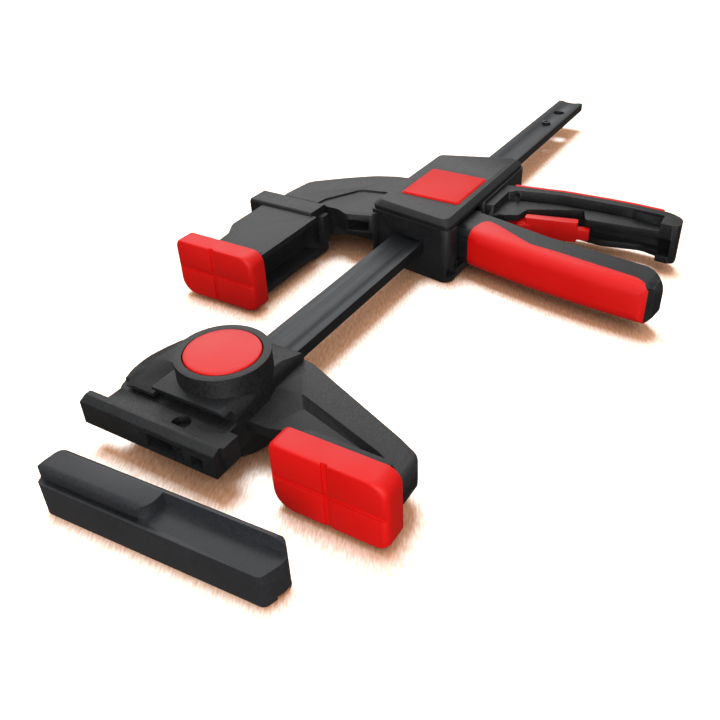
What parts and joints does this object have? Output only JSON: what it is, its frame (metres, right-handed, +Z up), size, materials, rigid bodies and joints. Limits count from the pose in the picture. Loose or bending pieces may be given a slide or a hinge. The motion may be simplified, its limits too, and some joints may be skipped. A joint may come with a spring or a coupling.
{
  "type": "quick release bar clamp",
  "caption": "One-handed quick release bar clamp with a turning fixed jaw, pump lever, release trigger, extending jaw block and loose support block.",
  "frame": {"origin": "on the bench, under the axis that the fixed jaw turns about", "axes": "+X along the bar towards its free end, +Y towards the arm of the sliding jaw, +Z up from the bench"},
  "size_m": [0.5147, 0.2426, 0.0423],
  "materials": {
    "steel_bar": "dark grey drawn steel bar, satin",
    "zinc": "bright zinc plated steel",
    "body_plastic": "anthracite glass filled plastic with a fine spark texture",
    "button_plastic": "red plastic, satin",
    "badge_plastic": "bare red plastic plate, satin",
    "grip_rubber": "soft red over-moulded rubber",
    "pad_rubber": "soft red rubber pad"
  },
  "bodies": {
    "bar": {"clamp_bar": "steel_bar", "stop_pin": "steel_bar", "pivot_post": "zinc"},
    "lock": {"lock_cone": "zinc", "lock_spring": "zinc"},
    "head": {"fixed_jaw": "body_plastic", "pivot_cap": "body_plastic", "cap_screws": "zinc", "fixed_pad": "pad_rubber", "rail_adapter": "body_plastic"},
    "button": {"release_button": "button_plastic"},
    "slider": {"slide_body": "body_plastic", "body_cover": "body_plastic", "cover_screws": "zinc", "badge_plate": "badge_plastic", "handle_strip": "grip_rubber", "lever_pin": "zinc", "trigger_pin": "zinc", "brake_spring": "zinc"},
    "extension": {"extension_block": "body_plastic", "extension_pad": "pad_rubber"},
    "lever": {"pump_lever": "body_plastic", "lever_grip": "grip_rubber"},
    "drive": {"drive_plates": "zinc", "drive_spring": "zinc"},
    "trigger": {"release_trigger": "button_plastic"},
    "brake": {"brake_plate": "zinc"},
    "block": {"support_block": "body_plastic"}
  },
  "joints": [
    {"name": "head_turn", "type": "hinge", "parent": "bar", "child": "head", "pos_m": [0, 0, 0.019], "axis": [0, 0, 1], "range_deg": [-90, 0]},
    {"name": "button_press", "type": "slide", "parent": "head", "child": "button", "axis": [0, 0, -1], "range_m": [0, 0.0025], "stiffness_N_per_m": 1500, "springref_m": -0.002},
    {"name": "lock_drop", "type": "slide", "parent": "bar", "child": "lock", "axis": [0, 0, -1], "range_m": [0, 0.0025], "deforming": ["lock_spring"]},
    {"name": "slider_travel", "type": "slide", "parent": "bar", "child": "slider", "axis": [1, 0, 0], "range_m": [-0.1, 0.112]},
    {"name": "extension_travel", "type": "slide", "parent": "slider", "child": "extension", "axis": [0, 1, 0], "range_m": [0, 0.028]},
    {"name": "lever_squeeze", "type": "hinge", "parent": "slider", "child": "lever", "pos_m": [0.186, 0.016, 0.019], "axis": [0, 0, 1], "range_deg": [0, 12], "stiffness_Nm_per_rad": 6, "springref_deg": -5.73},
    {"name": "drive_push", "type": "slide", "parent": "slider", "child": "drive", "axis": [1, 0, 0], "range_m": [0, 0.0034]},
    {"name": "trigger_pull", "type": "hinge", "parent": "slider", "child": "trigger", "pos_m": [0.216, -0.031, 0.019], "axis": [0, 0, 1], "range_deg": [0, 8], "stiffness_Nm_per_rad": 1.2, "springref_deg": -5.73},
    {"name": "brake_tilt", "type": "hinge", "parent": "slider", "child": "brake", "pos_m": [0.2325, 0.017, 0.019], "axis": [0, 0, 1], "range_deg": [0, 2.2]},
    {"name": "block_free", "type": "slide", "parent": "bar", "child": "block", "axis": [-1, 0, 0], "range_m": [0, 0.08]}
  ],
  "couplings": [
    {"joint": "lock_drop", "follows": "button_press", "ratio": 1},
    {"joint": "drive_push", "follows": "lever_squeeze", "m_per_rad": 0.0152},
    {"joint": "brake_tilt", "follows": "trigger_pull", "ratio": 0.25},
    {"joint": "block_free", "follows": "head_turn", "m_per_rad": -0.049}
  ]
}
